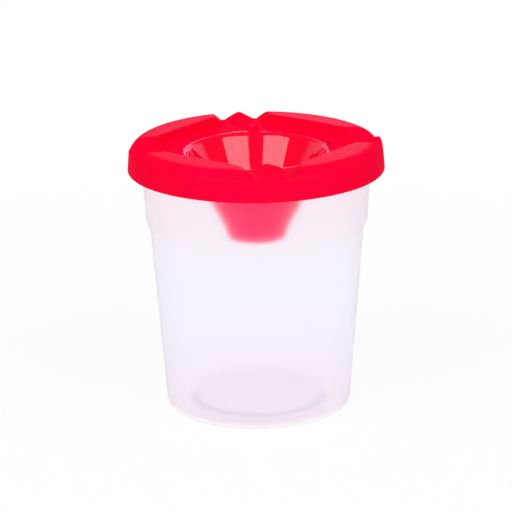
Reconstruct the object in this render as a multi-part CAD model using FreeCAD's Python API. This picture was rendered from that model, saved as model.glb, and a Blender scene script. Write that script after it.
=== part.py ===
import FreeCAD, Part
import math
import os
from FreeCAD import Vector

# A spill-proof paint pot: a frosted pot, and a lid moulded in one piece with its funnel.
# All sizes are in millimetres. The origin is the middle of the base, +Z is up,
# and the four brush notches of the lid lie along +X, -X, +Y and -Y.

# Pot
POT_HEIGHT = 81.1            # base to the top of the rim
POT_WALL = 1.1               # wall and floor alike
BASE_RADIUS = 28.95          # outside, where the wall would meet the table
BASE_ROUND = 2.7             # outside corner of the base
WALL_DRAFT = 4.48            # lean of the lower wall, in degrees
FOOT_RADIUS = 21.2           # inner edge of the ring that the pot stands on
FOOT_RECESS = 2.2            # depth of the hollow under the floor
FOOT_SLOPE = 0.8             # how far the hollow's side leans in
FOOT_ROUND = 0.5             # inner edge of the standing ring
FLOOR_ROUND = 1.0            # upper corner of the hollow
STEP_BOTTOM = 58.2           # where the lower wall ends
STEP_HEIGHT = 3.2            # slope between the lower wall and the collar
STEP_DEPTH = 1.35            # how far the collar stands out from the lower wall
STEP_ROUND = 1.3             # both corners of the step
COLLAR_DRAFT = 2.75          # lean of the collar, in degrees

# Rim of the pot
RIM_REACH = 2.70             # how far the rim stands out from the collar
RIM_THICKNESS = 1.3          # flat part of the rim
RIM_LIP_WIDTH = 1.0          # the turned-down edge
RIM_LIP_DROP = 1.1           # how far it hangs below the flat part
RIM_ROUND = 0.6              # outer top corner
SMALL_ROUND = 0.3            # lesser moulded corners

# Fit of the lid on the pot
SEAT_GAP = 0.1               # lid's underside above the rim
PLUG_GAP = 0.2               # plug ring inside the pot's mouth
SKIRT_GAP = 0.3              # skirt outside the rim

# Lid
LID_WALL = 1.4               # skirt, deck and blocks
LID_HEIGHT = 9.1             # lower edge of the skirt to the level of the outer top corner
LID_DRAFT = 4.5              # lean of the skirt, in degrees
SHOULDER_DROP = 4.8          # top corner down to where the skirt turns into the shoulder
SHOULDER_DRAFT = 8.5         # lean of the shoulder there, in degrees
SHOULDER_ROUND = 5.0         # outer top corner of the blocks
CROWN = 2.0                  # rise of the blocks' tops towards the middle, in degrees
LID_FOOT_ROUND = 0.4         # lower edge of the skirt
PLUG_LENGTH = 5.6            # plug ring below the deck
PLUG_WALL = 1.2
PLUG_LEAD = 0.5              # bevel that leads the plug in
BEAD_HEIGHT = 0.15           # snap bead inside the skirt
BEAD_RADIUS = 0.5
BEAD_RISE = 1.2              # middle of the bead above the skirt's lower edge

# Square recess and the four raised blocks round it
RECESS_DEPTH = 3.3           # outer top corner down to the deck
DECK_LEDGE = 4.7             # least width of deck between funnel and block
BLOCK_DRAFT = 5.0            # lean of the blocks' straight inner walls, in degrees
BLOCK_EDGE_ROUND = 0.9       # top edge of those walls
DECK_CORNER_ROUND = 0.7      # foot of those walls

# Brush notches, each with a tooth in the skirt's edge and a hump at the funnel's lip
NOTCH_HALF_WIDTH = 5.1       # at the deck
NOTCH_SILL = 0.1             # floor of the notch above the deck
NOTCH_FLANK = 44.0           # slope of the blocks' ends, in degrees
NOTCH_EDGE_ROUND = 3.0       # top edge of those ends
CREST_HALF_WIDTH = 4.7       # of tooth and hump at the deck
CREST_ROUND = 1.6            # crest of tooth and hump, seen along the notch
PEAK_ROUND = 0.6             # their peaks, seen across the notch
FOOT_BLEND = 0.8             # where they rise from the deck
TOOTH_HEIGHT = 2.5           # above the deck
TOOTH_DEPTH = 3.3            # outside of the lid to the tooth's inner foot
TOOTH_LEAN = 1.6             # how far the tooth's inner face leans out
TOOTH_FALL = 12.0            # fall of its top towards the outside, in degrees
TOOTH_ROUND = 2.8            # its outer top corner
HUMP_HEIGHT = 2.2            # above the deck
HUMP_LEDGE = 0.1             # deck left between funnel and hump
HUMP_LEAN = 1.2              # how far the hump's inner face leans out
HUMP_TAIL = 4.2              # length of its slope behind the peak

# Funnel
FUNNEL_MOUTH_RADIUS = 22.6   # outer edge of the rounded lip
FUNNEL_LIP_ROUND = 1.8
FUNNEL_WALL = 1.3
FUNNEL_LENGTH = 27.7         # deck to the tip
SPOUT_LENGTH = 3.8           # steeper part at the tip
THROAT_RADIUS = 8.9          # bore where the cone turns into the spout
SPOUT_RADIUS = 7.9           # bore at the tip
THROAT_ROUND = 8.0
UNDER_ROUND = 1.5            # between the funnel and the underside of the deck

CUT_TOLERANCE = 0.001        # faces closer than this are cut as one
OVERRUN = 5.0                # how far cutting shapes pass the lid
SEAM_ANGLE = 33.0            # where turned surfaces start and end, away from the notches


# Places and sizes that follow from the ones above
def radius_on_slope(radius, degrees, rise):
    return radius + math.tan(math.radians(degrees)) * rise


step_top = STEP_BOTTOM + STEP_HEIGHT
wall_top_radius = radius_on_slope(BASE_RADIUS, WALL_DRAFT, STEP_BOTTOM)
collar_radius = wall_top_radius + STEP_DEPTH
mouth_radius = radius_on_slope(collar_radius, COLLAR_DRAFT, POT_HEIGHT - step_top)
rim_radius = mouth_radius + RIM_REACH
rim_underside = POT_HEIGHT - RIM_THICKNESS

deck_underside = POT_HEIGHT + SEAT_GAP
deck = deck_underside + LID_WALL
lid_top = deck + RECESS_DEPTH
lid_foot = lid_top - LID_HEIGHT
skirt_bore = rim_radius + SKIRT_GAP
lid_radius = skirt_bore + LID_WALL
lid_top_radius = radius_on_slope(lid_radius, -LID_DRAFT, LID_HEIGHT)
shoulder_foot = lid_top - SHOULDER_DROP
shoulder_foot_radius = radius_on_slope(lid_radius, -LID_DRAFT, shoulder_foot - lid_foot)
shoulder_radius = radius_on_slope(shoulder_foot_radius, -SHOULDER_DRAFT, SHOULDER_DROP)
plug_foot = deck_underside - PLUG_LENGTH
recess_half = FUNNEL_MOUTH_RADIUS + DECK_LEDGE
crown_slope = math.tan(math.radians(CROWN))
hump_front = FUNNEL_MOUTH_RADIUS + HUMP_LEDGE
hump_peak = hump_front + HUMP_LEAN
hump_end = hump_peak + HUMP_TAIL
notch_floor = deck + NOTCH_SILL
tooth_front = lid_top_radius - TOOTH_DEPTH
tooth_peak = tooth_front + TOOTH_LEAN
funnel_tip = deck - FUNNEL_LENGTH
throat = funnel_tip + SPOUT_LENGTH
notch_slope = math.tan(math.radians(NOTCH_FLANK))
mouth_bore = mouth_radius - POT_WALL / math.cos(math.radians(COLLAR_DRAFT))
plug_radius = mouth_bore - PLUG_GAP
hollow_radius = shoulder_radius - LID_WALL


def top_at(radius):
    """Height of the lid's crowned top at a distance from the axis."""
    return lid_top + crown_slope * (shoulder_radius - radius)


notch_start_depth = top_at(hump_front) - deck
notch_top_half = NOTCH_HALF_WIDTH + notch_start_depth / notch_slope


def offset_path(points, distance):
    """The path moved sideways by a distance, to its left, with mitred corners."""
    normals = []
    for (u0, v0), (u1, v1) in zip(points, points[1:]):
        length = math.hypot(u1 - u0, v1 - v0)
        normals.append(((v0 - v1) / length, (u1 - u0) / length))
    moved = []
    for index, (u, v) in enumerate(points):
        before = normals[max(index - 1, 0)]
        after = normals[min(index, len(normals) - 1)]
        share = 1.0 + before[0] * after[0] + before[1] * after[1]
        shift_u = distance * (before[0] + after[0]) / share
        shift_v = distance * (before[1] + after[1]) / share
        moved.append((u + shift_u, v + shift_v))
    return moved


def outline(corners, place):
    """A closed face through (u, v, radius) corners, each rounded by a tangent arc."""
    points = [Vector(u, v, 0) for u, v, _ in corners]
    starts, middles, ends = [], [], []
    for index, corner in enumerate(points):
        radius = corners[index][2]
        back = (points[index - 1] - corner).normalize()
        ahead = (points[(index + 1) % len(points)] - corner).normalize()
        half = back.getAngle(ahead) / 2
        if radius == 0:
            starts.append(corner)
            middles.append(None)
            ends.append(corner)
            continue
        reach = radius / math.tan(half)
        bisector = (back + ahead).normalize()
        starts.append(corner + back * reach)
        middles.append(corner + bisector * (radius / math.sin(half) - radius))
        ends.append(corner + ahead * reach)
    edges = []
    for index in range(len(points)):
        line_end = starts[index]
        line_start = ends[index - 1]
        if line_start.distanceToPoint(line_end) > 1e-6:
            edges.append(Part.LineSegment(place(line_start), place(line_end)).toShape())
        if middles[index] is not None:
            arc = Part.Arc(place(line_end), place(middles[index]), place(ends[index]))
            edges.append(arc.toShape())
    return Part.Face(Part.Wire(edges))


def turned(corners):
    """A solid of revolution about the pot's axis, from (radius, height, round) corners."""
    seam = math.radians(SEAM_ANGLE)
    face = outline(corners, lambda point: Vector(
        point.x * math.cos(seam), point.x * math.sin(seam), point.y))
    return face.revolve(Vector(0, 0, 0), Vector(0, 0, 1), 360)


def barred(corners, start, length, fall=0):
    """A bar along +X, falling as it goes, from a section of (sideways, height, round) corners."""
    face = outline(corners, lambda point: Vector(start, point.x, point.y))
    return face.extrude(Vector(length, 0, -length * fall))


def about_axis(shape, degrees):
    copy = shape.copy()
    copy.rotate(Vector(0, 0, 0), Vector(0, 0, 1), degrees)
    return copy


def four_round(shape):
    """Four copies of a shape, one in each notch's direction."""
    return [about_axis(shape, quarter * 90) for quarter in range(4)]


def mirrored(half):
    """A closed section from its right half, listed from the bottom up."""
    return half + [(-u, v, radius) for u, v, radius in reversed(half)]


def make_pot():
    outer = [
        (0, FOOT_RECESS),
        (FOOT_RADIUS - FOOT_SLOPE, FOOT_RECESS),
        (FOOT_RADIUS, 0),
        (BASE_RADIUS, 0),
        (wall_top_radius, STEP_BOTTOM),
        (collar_radius, step_top),
        (mouth_radius, POT_HEIGHT),
    ]
    inner = offset_path(outer, POT_WALL)
    collar_under_rim = radius_on_slope(mouth_radius, -COLLAR_DRAFT, RIM_THICKNESS)
    outside = [
        (*outer[0], 0),
        (*outer[1], FLOOR_ROUND),
        (*outer[2], FOOT_ROUND),
        (*outer[3], BASE_ROUND),
        (*outer[4], STEP_ROUND + POT_WALL),
        (*outer[5], STEP_ROUND),
        (collar_under_rim, rim_underside, RIM_ROUND),
        (rim_radius - RIM_LIP_WIDTH, rim_underside, SMALL_ROUND),
        (rim_radius - RIM_LIP_WIDTH, rim_underside - RIM_LIP_DROP, SMALL_ROUND),
        (rim_radius, rim_underside - RIM_LIP_DROP, SMALL_ROUND),
        (rim_radius, POT_HEIGHT, RIM_ROUND),
    ]
    inside = [
        (inner[6][0], POT_HEIGHT, SMALL_ROUND),
        (*inner[5], SMALL_ROUND),
        (*inner[4], STEP_ROUND),
        (*inner[3], BASE_ROUND - POT_WALL),
        (*inner[2], FOOT_ROUND + POT_WALL / 2),
        (*inner[1], FLOOR_ROUND),
        (*inner[0], 0),
    ]
    return turned(outside + inside)


def funnel_bore():
    """Lip, throat and tip of the funnel's bore, from the top down."""
    lean = math.atan2(FUNNEL_MOUTH_RADIUS - THROAT_RADIUS, deck - throat)
    lip_tangent = FUNNEL_LIP_ROUND * math.tan((math.pi / 2 - lean) / 2)
    lip_radius = FUNNEL_MOUTH_RADIUS - lip_tangent
    return [(lip_radius, deck), (THROAT_RADIUS, throat), (SPOUT_RADIUS, funnel_tip)]


def lid_blank():
    """The lid before its top is carved: skirt, full-height deck, plug ring and solid funnel."""
    peak = lid_top + math.tan(math.radians(TOOTH_FALL)) * lid_top_radius
    lip, neck, tip = offset_path(funnel_bore(), FUNNEL_WALL)
    cone_run = (lip[0] - neck[0]) / (lip[1] - neck[1])
    funnel_root = neck[0] + cone_run * (deck_underside - neck[1])
    collar_lean = math.tan(math.radians(COLLAR_DRAFT))
    plug_tip = plug_radius - collar_lean * PLUG_LENGTH
    bead = lid_foot + BEAD_RISE
    return turned([
        (0, funnel_tip, 0),
        (tip[0], funnel_tip, SMALL_ROUND),
        (neck[0], neck[1], THROAT_ROUND),
        (funnel_root, deck_underside, UNDER_ROUND),
        (plug_radius - PLUG_WALL, deck_underside, SMALL_ROUND),
        (plug_tip - PLUG_WALL, plug_foot, SMALL_ROUND),
        (plug_tip - PLUG_LEAD, plug_foot, SMALL_ROUND),
        (plug_tip + collar_lean * PLUG_LEAD * 2, plug_foot + PLUG_LEAD * 2, SMALL_ROUND),
        (plug_radius, deck_underside, SMALL_ROUND),
        (skirt_bore, deck_underside, SMALL_ROUND),
        (skirt_bore, bead + BEAD_RADIUS, 0),
        (skirt_bore - BEAD_HEIGHT, bead, BEAD_RADIUS),
        (skirt_bore, bead - BEAD_RADIUS, 0),
        (skirt_bore, lid_foot, SMALL_ROUND),
        (lid_radius, lid_foot, LID_FOOT_ROUND),
        (lid_top_radius, lid_top, TOOTH_ROUND),
        (0, peak, 0),
    ])


def above_blocks():
    """The space over the blocks' crowned tops and round their shoulders."""
    foot = shoulder_foot - OVERRUN
    ceiling = top_at(0) + 2 * OVERRUN
    outside = shoulder_foot_radius + OVERRUN
    return turned([
        (radius_on_slope(shoulder_foot_radius, SHOULDER_DRAFT, OVERRUN), foot, 0),
        (shoulder_radius, lid_top, SHOULDER_ROUND),
        (0, top_at(0), 0),
        (0, ceiling, 0),
        (outside, ceiling, 0),
        (outside, foot, 0),
    ])


def square_recess():
    """The space between the four blocks, down to the deck."""
    wall_top = radius_on_slope(recess_half, BLOCK_DRAFT, top_at(recess_half) - deck)
    half = [
        (recess_half, deck, DECK_CORNER_ROUND),
        (wall_top, top_at(wall_top), BLOCK_EDGE_ROUND),
        (wall_top + OVERRUN, top_at(wall_top), 0),
        (wall_top + OVERRUN, lid_top + 2 * OVERRUN, 0),
    ]
    strip = barred(mirrored(half), -2 * lid_radius, 4 * lid_radius)
    return about_axis(strip, 45).common(about_axis(strip, 135))


def notch():
    """One brush notch along +X, without its tooth and hump."""
    top = top_at(hump_front)
    half = [
        (NOTCH_HALF_WIDTH, deck, 0),
        (notch_top_half, top, NOTCH_EDGE_ROUND),
        (notch_top_half + OVERRUN, top, 0),
        (notch_top_half + OVERRUN, top + 2 * OVERRUN, 0),
    ]
    length = lid_radius + OVERRUN - hump_front
    channel = barred(mirrored(half), hump_front, length, crown_slope)
    above_floor = Part.makeBox(2 * lid_radius, 2 * lid_radius, 4 * OVERRUN)
    above_floor.translate(Vector(0, -lid_radius, notch_floor))
    return channel.common(above_floor)


def ridge(height, profile):
    """A body in the middle of the notch at +X: a rounded peak across, met by its profile along."""
    slope = height / CREST_HALF_WIDTH
    apex = deck + height + CREST_ROUND * (math.hypot(1, slope) - 1)
    foot = CREST_HALF_WIDTH * (apex - deck + OVERRUN) / (apex - deck)
    section = [(foot, deck - OVERRUN, 0), (0, apex, CREST_ROUND), (-foot, deck - OVERRUN, 0)]
    return barred(section, 0, 2 * lid_radius).common(turned(profile))


def tooth():
    """The fin at the skirt's edge. Its top and outside are the blank's own."""
    far = lid_radius + 2 * OVERRUN
    ceiling = lid_top + OVERRUN
    return ridge(TOOTH_HEIGHT, [
        (hump_end, deck - OVERRUN, 0),
        (hump_end, notch_floor, 0),
        (tooth_front, notch_floor, FOOT_BLEND),
        (tooth_peak, ceiling, 0),
        (far, ceiling, 0),
        (far, deck - OVERRUN, 0),
    ])


def hump():
    """The low ridge that rises from the funnel's lip."""
    peak = deck + HUMP_HEIGHT
    return ridge(HUMP_HEIGHT, [
        (hump_front, deck - OVERRUN, 0),
        (hump_front, deck, 0),
        (hump_peak, peak, PEAK_ROUND),
        (hump_end, notch_floor, FOOT_BLEND),
        (tooth_front, notch_floor, 0),
        (tooth_front, deck - OVERRUN, 0),
    ])


def funnel_space():
    """The funnel's bore with its rounded lip, open to the top."""
    lip, neck, tip = funnel_bore()
    slope = (neck[0] - tip[0]) / SPOUT_LENGTH
    return turned([
        (0, lid_top + 2 * OVERRUN, 0),
        (hump_front, lid_top + 2 * OVERRUN, 0),
        (hump_front, deck, 0),
        (*lip, FUNNEL_LIP_ROUND),
        (*neck, THROAT_ROUND),
        (tip[0] - slope * OVERRUN, tip[1] - OVERRUN, 0),
        (0, tip[1] - OVERRUN, 0),
    ])


def block_hollow():
    """The hollow under the block at 45 degrees."""
    near = recess_half + LID_WALL
    far = lid_radius + OVERRUN
    side = (notch_top_half + LID_WALL) * math.sqrt(2)
    base = deck_underside - OVERRUN
    corners = [
        (near, side - near, LID_WALL),
        (far, side - far, 0),
        (far, far - side, 0),
        (near, near - side, LID_WALL),
    ]
    plan = outline(corners, lambda point: Vector(point.x, point.y, base))
    prism = plan.extrude(Vector(0, 0, 4 * OVERRUN))
    ceiling = turned([
        (0, base, 0),
        (hollow_radius, base, 0),
        (hollow_radius, top_at(hollow_radius) - LID_WALL, SHOULDER_ROUND - LID_WALL),
        (0, top_at(0) - LID_WALL, 0),
    ])
    return about_axis(prism.common(ceiling), 45)


def block_hollows():
    """The four hollows under the blocks, apart from the root of the plug ring."""
    ring = turned([
        (plug_radius - PLUG_WALL, deck_underside - OVERRUN, 0),
        (plug_radius, deck_underside - OVERRUN, 0),
        (plug_radius, lid_top + 2 * OVERRUN, 0),
        (plug_radius - PLUG_WALL, lid_top + 2 * OVERRUN, 0),
    ])
    return [hollow.cut(ring) for hollow in four_round(block_hollow())]


def make_lid():
    carving = square_recess()
    for part in [above_blocks()] + four_round(notch()):
        carving = carving.fuse(part, CUT_TOLERANCE)
    for part in four_round(tooth()) + four_round(hump()):
        carving = carving.cut(part, CUT_TOLERANCE)
    lid = lid_blank()
    for part in [carving, funnel_space()] + block_hollows():
        lid = lid.cut(part, CUT_TOLERANCE)
    return lid


def main():
    os.makedirs("parts", exist_ok=True)
    pieces = {"pot": make_pot(), "lid": make_lid()}
    for name, shape in pieces.items():
        print(name, len(shape.Solids), "solid", round(shape.Volume), "mm3, valid", shape.isValid())
        shape.Solids[0].exportStep("parts/" + name + ".step")


main()
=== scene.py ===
import math

import bpy
from mathutils import Matrix, Vector


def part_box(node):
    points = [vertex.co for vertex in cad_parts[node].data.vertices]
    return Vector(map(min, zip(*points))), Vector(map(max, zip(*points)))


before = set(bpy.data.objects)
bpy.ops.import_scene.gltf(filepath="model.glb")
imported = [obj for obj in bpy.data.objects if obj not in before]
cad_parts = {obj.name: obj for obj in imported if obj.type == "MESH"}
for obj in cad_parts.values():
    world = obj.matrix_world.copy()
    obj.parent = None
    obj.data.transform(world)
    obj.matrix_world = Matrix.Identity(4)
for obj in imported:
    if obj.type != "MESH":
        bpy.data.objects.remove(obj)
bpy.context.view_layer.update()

# Camera: its distance from the point it looks at on the pot's axis, its height and its turn about the axis
AIM_HEIGHT = 0.045
CAMERA_DISTANCE = 0.950
CAMERA_RISE = math.radians(17.24)
CAMERA_TURN = math.radians(8.0)
CAMERA_ROLL = math.radians(0.72)
LENS = 211.6
SENSOR = 36.0
PICTURE_SIZE = 512
AIM_PIXEL = (257.4, 265.2)

# Lid: two close reds, a painted pink haze on the funnel's outer side below the lid that grows lighter at its tip,
# standing in for light seen through the frosted pot, and a gloss that is full in the polished funnel, thin on the
# raised tops and faint below
RED = (0.93, 0.0006, 0.036, 1)
RED_WARM = (0.95, 0.0010, 0.030, 1)
# Painted light: a pink haze and a lighter pink tip for the funnel below the lid, as light through the pot makes it
# look
RED_PAINTED_HAZE = (0.98, 0.003, 0.095, 1)
RED_TIP_PAINTED_GLOW = (0.96, 0.10, 0.24, 1)
LID_ROUGHNESS = 0.30
FUNNEL_GLOSS = 0.90
TOP_GLOSS = 0.22
SIDE_GLOSS = 0.022
GLOSS_BLUR = 0.045
POLISH_EDGE = 0.0232
POLISH_TOP = 0.0827
TOP_GLOSS_DEPTH = 0.0007
HAZE_TOP = 0.0775
HAZE_FADE = 0.004
TIP_GLOW_FADE = 0.0035

# Pot colours: lilac-white in the wall, a little rosier and denser towards the base, a painted pink glow near the top
# for the lid's red light shining through, painted shade at the foot and a painted dark ring at the foot's recess,
# and a thin lilac veil
POT_PALE = (0.957, 0.952, 0.982, 1)
POT_ROSY = (0.957, 0.913, 0.955, 1)
POT_PAINTED_RED_GLOW = (0.978, 0.908, 0.945, 1)
POT_FOOT_SHADE = (0.90, 0.80, 0.87, 1)
POT_RING_SHADE = (0.60, 0.56, 0.72, 1)
POT_VEIL = (0.90, 0.60, 0.95, 1)
FOOT_HEIGHT = 0.0018
FOOT_RING_RADIUS = 0.0204
FOOT_RING_LEVEL = 0.0022
FOOT_RING_WIDTH = 0.0012
FOOT_REAR = 0.15
POT_FROST = 0.46
POT_IOR = 1.06
VEIL_SHARE = 0.012

# Light on the object and the white it stands in
FILL_LEVEL = (0.37, 0.37, 0.37)
OVERHEAD_LEVEL = (0.56, 0.56, 0.56)
BACKDROP_LEVEL = (1.10, 0.82, 1.30)
BACKDROP_EDGE = (0.22, 0.42)
BACKDROP_SLANT = 0.09
BACKDROP_DIM_SIDE = 0.60
DIM_LEVEL = (0.04, 0.04, 0.04)
INSIDE_LEVEL = (1.8, 1.8, 1.8)
SOFTBOX_TURN = math.radians(42.5)
SOFTBOX_RISE = math.radians(42.0)
SOFTBOX_DISTANCE = 1.0
SOFTBOX_SIZE = (0.72, 0.44)
SOFTBOX_WATTS = 4.2
SOFTBOX_COLOUR = (0.98, 1.0, 1.10)
FLOOR_RADIUS = 4.0
FLOOR_WHITE = (0.9, 0.9, 0.9, 1)
SHADOW_SHARE = 0.11
SHADOW_REACH = 0.35


class Signal:
    """An output of a node. Sums and products with it add Math nodes."""

    def __init__(self, tree, socket):
        self.tree = tree
        self.socket = socket

    def _math(self, operation, left, right):
        return self.tree.node("ShaderNodeMath", {"operation": operation}, {0: left, 1: right})

    def __add__(self, other):
        return self._math("ADD", self, other)

    __radd__ = __add__

    def __sub__(self, other):
        return self._math("SUBTRACT", self, other)

    def __rsub__(self, other):
        return self._math("SUBTRACT", other, self)

    def __mul__(self, other):
        return self._math("MULTIPLY", self, other)

    __rmul__ = __mul__


class Tree:
    """The emptied node tree of a material or world, with one method that adds a node."""

    def __init__(self, owner):
        owner.use_nodes = True
        self.nodes = owner.node_tree.nodes
        self.links = owner.node_tree.links
        self.nodes.clear()

    def node(self, kind, settings, inputs, output=0):
        node = self.nodes.new(kind)
        for name, value in settings.items():
            setattr(node, name, value)
        for name, value in inputs.items():
            socket = node.inputs[name]
            if isinstance(value, Signal):
                self.links.new(value.socket, socket)
            else:
                socket.default_value = value
        return Signal(self, node.outputs[output]) if node.outputs else None

    def place(self):
        """Coordinates that stay with the piece, in metres."""
        return self.node("ShaderNodeTexCoord", {}, {}, "Object")

    def noise(self, scale, detail=2.0, place=None):
        inputs = {"Vector": place or self.place(), "Scale": scale, "Detail": detail}
        return self.node("ShaderNodeTexNoise", {}, inputs)

    def ramp(self, value, low, high, to_low=0.0, to_high=1.0):
        """A value carried smoothly from one range to another."""
        inputs = {"Value": value, "From Min": low, "From Max": high, "To Min": to_low, "To Max": to_high}
        return self.node("ShaderNodeMapRange", {"interpolation_type": "SMOOTHSTEP"}, inputs)

    def blend(self, factor, first, second):
        return self.node("ShaderNodeMix", {"data_type": "RGBA"}, {0: factor, 6: first, 7: second}, 2)

    def bump(self, height, depth, normal=None):
        inputs = {"Height": height, "Distance": depth}
        if normal:
            inputs["Normal"] = normal
        return self.node("ShaderNodeBump", {}, inputs)


def on_ray(tree, kind):
    """One on rays of that kind, else nought."""
    return tree.node("ShaderNodeLightPath", {}, {}, "Is " + kind + " Ray")


def red_plastic():
    """Moulded plastic: saturated body, a painted pink haze on the funnel's outer side below the lid, lighter at its
    tip, for light seen through the frosted pot, and a clear gloss with a faint ripple where the mould is polished.
    """
    material = bpy.data.materials.new("red_plastic")
    tree = Tree(material)
    drift = tree.noise(45, 3)
    ripple = tree.noise(260, 2)
    grain = tree.noise(2600, 2)
    normal = tree.bump(grain, 0.0000002, tree.bump(ripple, 0.000002))
    place = tree.place()
    height = tree.node("ShaderNodeSeparateXYZ", {}, {"Vector": place}, "Z")
    flat = tree.node("ShaderNodeVectorMath", {"operation": "MULTIPLY"}, {0: place, 1: (1, 1, 0)})
    facing = tree.node("ShaderNodeTexCoord", {}, {}, "Normal")
    outward = tree.node("ShaderNodeVectorMath", {"operation": "DOT_PRODUCT"}, {0: facing, 1: flat}, "Value")
    # Painted light: the outward-facing funnel below the lid is coloured with a pink haze, lighter towards the tip,
    # for light scattered through the pot
    haze_mask = tree.ramp(height, HAZE_TOP - HAZE_FADE, HAZE_TOP, 1.0, 0.0) * tree.ramp(outward, 0, 0.002)
    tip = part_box("lid")[0].z
    painted_haze = tree.blend(tree.ramp(height, tip, tip + TIP_GLOW_FADE), RED_TIP_PAINTED_GLOW, RED_PAINTED_HAZE)
    shown = tree.blend(tree.ramp(drift, 0.35, 0.65), RED, RED_WARM)
    colour = tree.blend(haze_mask, shown, painted_haze)
    radius = tree.node("ShaderNodeVectorMath", {"operation": "LENGTH"}, {0: flat}, "Value")
    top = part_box("lid")[1].z
    inner = tree.ramp(height, POLISH_TOP, POLISH_TOP + 0.0004, FUNNEL_GLOSS, SIDE_GLOSS)
    outer = tree.ramp(height, top - TOP_GLOSS_DEPTH, top, SIDE_GLOSS, TOP_GLOSS)
    gloss = tree.ramp(radius, POLISH_EDGE - 0.0004, POLISH_EDGE + 0.0004, inner, outer)
    shader = tree.node("ShaderNodeBsdfPrincipled", {}, {
        "Base Color": colour,
        "Roughness": tree.ramp(grain, 0.3, 0.7, LID_ROUGHNESS - 0.05, LID_ROUGHNESS + 0.05),
        "Specular IOR Level": 0.0,
        "Coat Weight": gloss,
        "Coat Roughness": GLOSS_BLUR,
        "Normal": normal,
    })
    tree.node("ShaderNodeOutputMaterial", {}, {"Surface": shader})
    return material


def frosted_plastic():
    """Frosted see-through plastic, a little denser and rosier low down, with a painted pink glow near the top for
    the lid's red light, and painted shade at the foot and a painted dark ring at the foot's recess, both stronger on
    the camera's side.
    """
    material = bpy.data.materials.new("frosted_plastic")
    tree = Tree(material)
    place = tree.place()
    height = tree.node("ShaderNodeSeparateXYZ", {}, {"Vector": place}, "Z")
    low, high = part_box("pot")
    cloud = tree.noise(60, 3, place)
    frost = tree.noise(3600, 2, place)
    density = tree.ramp(height + cloud * 0.012, low.z, high.z * 0.55, 1.0, 0.0)
    # Painted light: the top of the wall is tinted pink for the lid's red light glowing through the plastic
    red_glow_mask = tree.ramp(height + cloud * 0.012, high.z * 0.62, high.z * 0.98)
    flat = tree.node("ShaderNodeVectorMath", {"operation": "MULTIPLY"}, {0: place, 1: (1, 1, 0)})
    radius = tree.node("ShaderNodeVectorMath", {"operation": "LENGTH"}, {0: flat}, "Value")
    off_ring = tree.node("ShaderNodeMath", {"operation": "ABSOLUTE"}, {0: radius - FOOT_RING_RADIUS})
    off_level = tree.node("ShaderNodeMath", {"operation": "ABSOLUTE"}, {0: height - FOOT_RING_LEVEL})
    # Painted shade on the foot and its ring is weighted towards the camera's side and faint at the rear
    nearer = (-math.sin(CAMERA_TURN), -math.cos(CAMERA_TURN), 0)
    reach = tree.node("ShaderNodeVectorMath", {"operation": "DOT_PRODUCT"}, {0: place, 1: nearer}, "Value")
    share = tree.ramp(reach, -FOOT_RING_RADIUS / 2, FOOT_RING_RADIUS / 2, FOOT_REAR, 1.0)
    # Painted shade: the lowest band of the wall is darkened where the pot stands
    foot_shade = tree.ramp(height, 0.0005, FOOT_HEIGHT, 1.0, 0.0) * share
    # Painted shade: a dark ring at the edge of the foot's recess, for the dark arc seen through the wall
    narrow = tree.ramp(off_ring, 0, FOOT_RING_WIDTH, 1.0, 0.0) * tree.ramp(off_level, 0, FOOT_RING_WIDTH, 1.0, 0.0)
    ring_shade = narrow * share
    wall = tree.blend(red_glow_mask, tree.blend(density, POT_PALE, POT_ROSY), POT_PAINTED_RED_GLOW)
    clear = tree.node("ShaderNodeBsdfPrincipled", {}, {
        "Base Color": tree.blend(ring_shade, tree.blend(foot_shade, wall, POT_FOOT_SHADE), POT_RING_SHADE),
        "Roughness": tree.ramp(frost, 0.3, 0.7, POT_FROST - 0.02, POT_FROST + 0.02),
        "IOR": POT_IOR,
        "Transmission Weight": 1.0,
        "Normal": tree.bump(cloud, 0.00004),
    })
    veil = tree.node("ShaderNodeBsdfDiffuse", {}, {"Color": POT_VEIL})
    mixed = tree.node("ShaderNodeMixShader", {}, {0: VEIL_SHARE, 1: clear, 2: veil})
    tree.node("ShaderNodeOutputMaterial", {}, {"Surface": mixed})
    return material


def finish_node(name, material):
    """Gives every material slot of a CAD node the finish."""
    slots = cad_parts[name].material_slots
    for slot in slots:
        slot.material = material


def lay_floor():
    """A white floor that keeps a faint share of the object's shadow."""
    mesh = bpy.data.meshes.new("floor")
    corners = [(FLOOR_RADIUS * x, FLOOR_RADIUS * y, 0) for x, y in ((-1, -1), (1, -1), (1, 1), (-1, 1))]
    mesh.from_pydata(corners, [], [(0, 1, 2, 3)])
    floor = bpy.data.objects.new("floor", mesh)
    bpy.context.collection.objects.link(floor)
    material = bpy.data.materials.new("floor_white")
    tree = Tree(material)
    distance = tree.node("ShaderNodeVectorMath", {"operation": "LENGTH"}, {0: tree.place()}, "Value")
    share = tree.ramp(distance, 0.05, SHADOW_REACH, 1 - SHADOW_SHARE, 1.0)
    lit = tree.node("ShaderNodeBsdfDiffuse", {}, {"Color": FLOOR_WHITE})
    white = tree.node("ShaderNodeEmission", {}, {"Color": (1, 1, 1, 1), "Strength": 1.0})
    shown = on_ray(tree, "Camera") + on_ray(tree, "Glossy") + on_ray(tree, "Transmission")
    mixed = tree.node("ShaderNodeMixShader", {}, {0: shown * share, 1: lit, 2: white})
    tree.node("ShaderNodeOutputMaterial", {}, {"Surface": mixed})
    mesh.materials.append(material)


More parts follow.
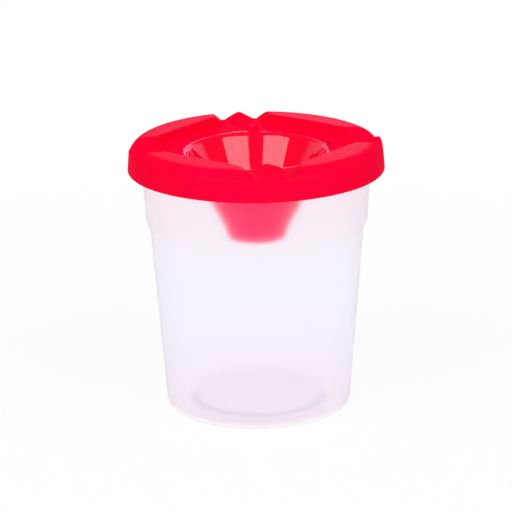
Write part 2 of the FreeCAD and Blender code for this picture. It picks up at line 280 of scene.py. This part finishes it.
def light_world():
    """A dim room with a pale backdrop behind the object, an even fill, and white seen direct and through plastic."""
    world = bpy.data.worlds.new("studio")
    bpy.context.scene.world = world
    tree = Tree(world)
    levels = {
        "fill": FILL_LEVEL,
        "overhead": OVERHEAD_LEVEL,
        "backdrop": BACKDROP_LEVEL,
        "dim": DIM_LEVEL,
        "white": (1.0, 1.0, 1.0),
        "inside": INSIDE_LEVEL,
    }
    light = {
        name: tree.node("ShaderNodeBackground", {}, {"Color": (*level, 1), "Strength": 1.0})
        for name, level in levels.items()
    }
    direction = tree.node("ShaderNodeTexCoord", {}, {}, "Generated")
    height = tree.node("ShaderNodeSeparateXYZ", {}, {"Vector": direction}, "Z")
    away = (math.sin(CAMERA_TURN), math.cos(CAMERA_TURN), 0)
    depth = tree.node("ShaderNodeVectorMath", {"operation": "DOT_PRODUCT"}, {0: direction, 1: away}, "Value")
    above = tree.ramp(height, 0.35, 0.60)
    across = (math.cos(CAMERA_TURN), -math.sin(CAMERA_TURN), 0)
    side = tree.node("ShaderNodeVectorMath", {"operation": "DOT_PRODUCT"}, {0: direction, 1: across}, "Value")
    slant = tree.ramp(side, -BACKDROP_SLANT, BACKDROP_SLANT, BACKDROP_DIM_SIDE, 1.0)
    backdrop = tree.ramp(depth, *BACKDROP_EDGE) * (1 - above) * slant
    room = tree.node("ShaderNodeMixShader", {}, {0: backdrop, 1: light["dim"], 2: light["backdrop"]})
    fill = tree.node("ShaderNodeMixShader", {}, {0: above, 1: light["fill"], 2: light["overhead"]})
    plain = tree.node("ShaderNodeMixShader", {}, {0: on_ray(tree, "Glossy"), 1: fill, 2: room})
    scattered = tree.node("ShaderNodeLightPath", {}, {}, "Diffuse Depth")
    white = tree.node("ShaderNodeMixShader", {}, {0: scattered, 1: light["white"], 2: light["inside"]})
    shown = on_ray(tree, "Camera") + on_ray(tree, "Transmission")
    mixed = tree.node("ShaderNodeMixShader", {}, {0: shown, 1: plain, 2: white})
    tree.node("ShaderNodeOutputWorld", {}, {"Surface": mixed})


def hang_softbox(name, side):
    """An oblong lamp to one side of the camera and above it, facing the lid."""
    lamp = bpy.data.lights.new(name, "AREA")
    lamp.shape = "RECTANGLE"
    lamp.size, lamp.size_y = SOFTBOX_SIZE
    lamp.energy = SOFTBOX_WATTS
    lamp.color = SOFTBOX_COLOUR
    holder = bpy.data.objects.new(name, lamp)
    bpy.context.collection.objects.link(holder)
    turn = CAMERA_TURN + side * SOFTBOX_TURN
    away = Vector((-math.sin(turn), -math.cos(turn), math.tan(SOFTBOX_RISE))).normalized()
    target = Vector((0, 0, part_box("lid")[1].z))
    holder.location = target + away * SOFTBOX_DISTANCE
    holder.rotation_euler = away.to_track_quat("Z", "Y").to_euler()
    holder.visible_transmission = False
    holder.visible_camera = False


def place_camera():
    data = bpy.data.cameras.new("camera")
    data.sensor_width = SENSOR
    data.lens = LENS
    middle = PICTURE_SIZE / 2
    data.shift_x = -(AIM_PIXEL[0] - middle) / PICTURE_SIZE
    data.shift_y = (AIM_PIXEL[1] - middle) / PICTURE_SIZE
    camera = bpy.data.objects.new("camera", data)
    bpy.context.collection.objects.link(camera)
    aim = Vector((0, 0, AIM_HEIGHT))
    level = Vector((math.sin(CAMERA_TURN), math.cos(CAMERA_TURN), 0))
    rise = Vector((0, 0, math.sin(CAMERA_RISE)))
    spot = aim + CAMERA_DISTANCE * (rise - level * math.cos(CAMERA_RISE))
    turn = (aim - spot).to_track_quat("-Z", "Y").to_matrix().to_4x4()
    roll = Matrix.Rotation(-CAMERA_ROLL, 4, "Z")
    camera.matrix_world = Matrix.Translation(spot) @ turn @ roll
    bpy.context.scene.camera = camera


place_camera()
light_world()
lay_floor()
for side, name in ((-1, "right"), (1, "left")):
    hang_softbox("softbox_" + name, side)
finish_node("lid", red_plastic())
finish_node("pot", frosted_plastic())
bpy.context.scene.view_settings.view_transform = "Standard"
